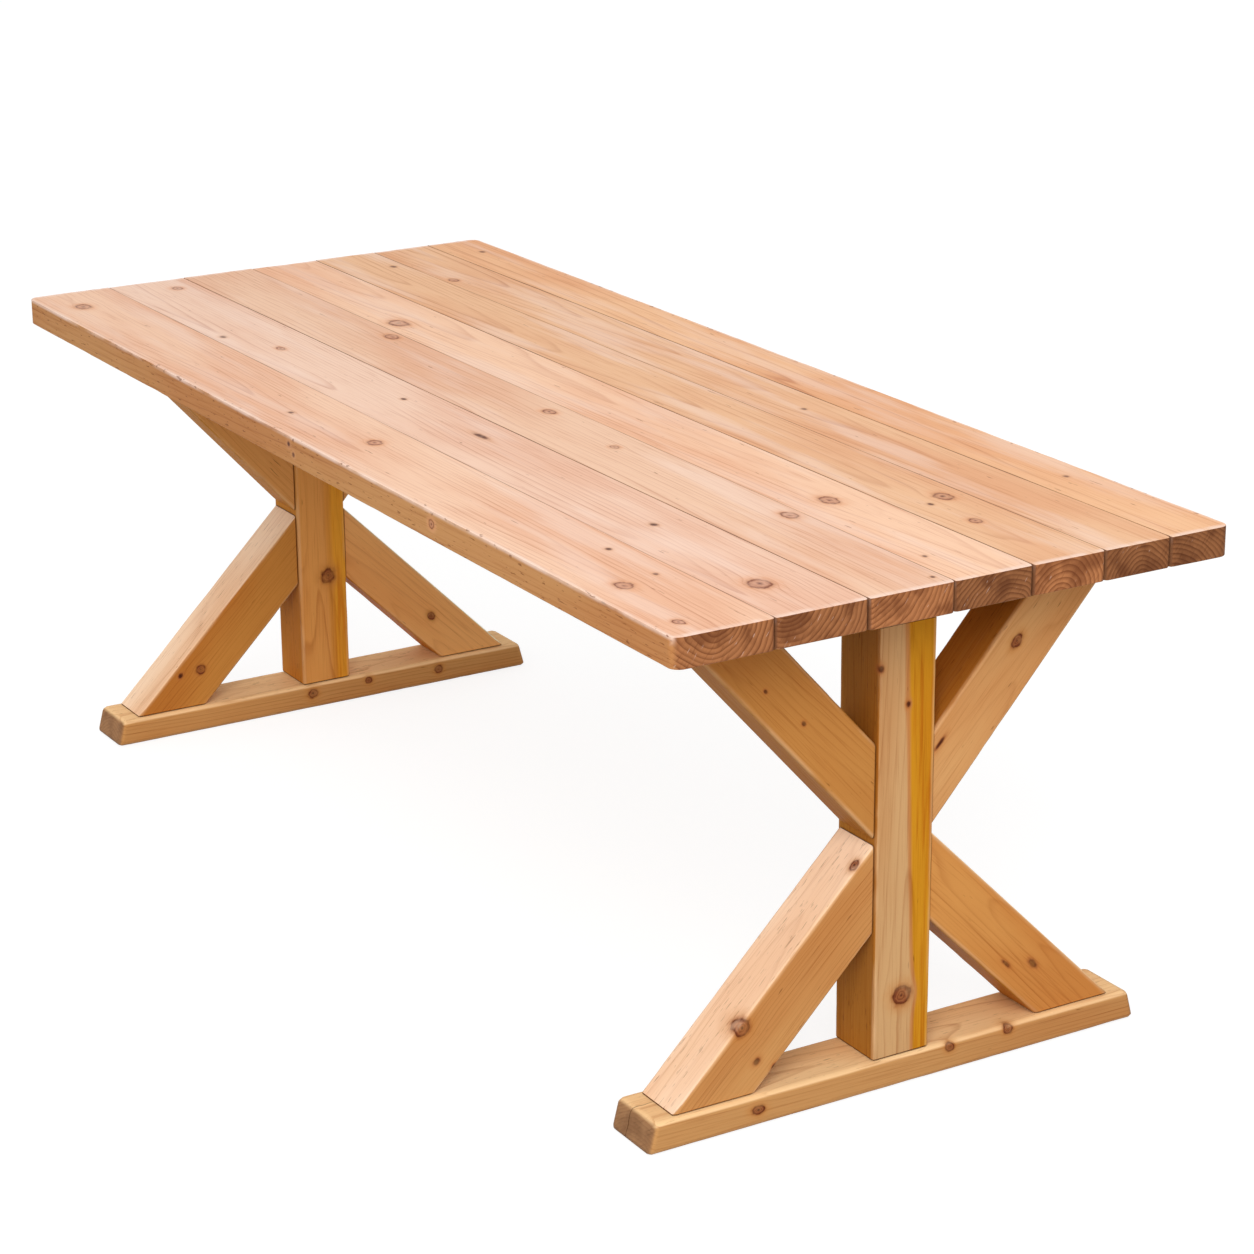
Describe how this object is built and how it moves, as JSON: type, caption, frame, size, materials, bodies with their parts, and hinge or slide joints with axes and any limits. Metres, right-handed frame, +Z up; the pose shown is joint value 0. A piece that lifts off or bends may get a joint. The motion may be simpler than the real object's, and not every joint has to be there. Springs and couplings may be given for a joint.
{
  "type": "sawbuck table",
  "caption": "Long rectangular pine dining table with a plank top on trestles, each a post on a low foot with diagonal braces that form an X.",
  "frame": {"origin": "on the floor, under the middle of the top", "axes": "+X along the table to its right end, +Y across it to the back, +Z up"},
  "size_m": [2.08, 0.8588, 0.75],
  "materials": {
    "top_pine": "waxed, worn pale pine with open end grain",
    "frame_pine": "oiled honey pine",
    "joint_wood": "bare wood, hidden in the joints",
    "screw_steel": "zinc plated, hidden in the joints"
  },
  "bodies": {
    "root": {"top_plank_1": "top_pine", "top_plank_2": "top_pine", "top_plank_3": "top_pine", "top_plank_4": "top_pine", "top_plank_5": "top_pine", "top_plank_6": "top_pine", "top_plank_7": "top_pine", "right_trestle_foot": "frame_pine", "right_trestle_post": "frame_pine", "right_trestle_bearer": "frame_pine", "right_trestle_lower_front_brace": "frame_pine", "right_trestle_lower_back_brace": "frame_pine", "right_trestle_upper_front_brace": "frame_pine", "right_trestle_upper_back_brace": "frame_pine", "left_trestle_foot": "frame_pine", "left_trestle_post": "frame_pine", "left_trestle_bearer": "frame_pine", "left_trestle_lower_front_brace": "frame_pine", "left_trestle_lower_back_brace": "frame_pine", "left_trestle_upper_front_brace": "frame_pine", "left_trestle_upper_back_brace": "frame_pine", "seam_tongues": "joint_wood", "brace_tenons": "joint_wood", "top_screws": "screw_steel"}
  },
  "joints": []
}
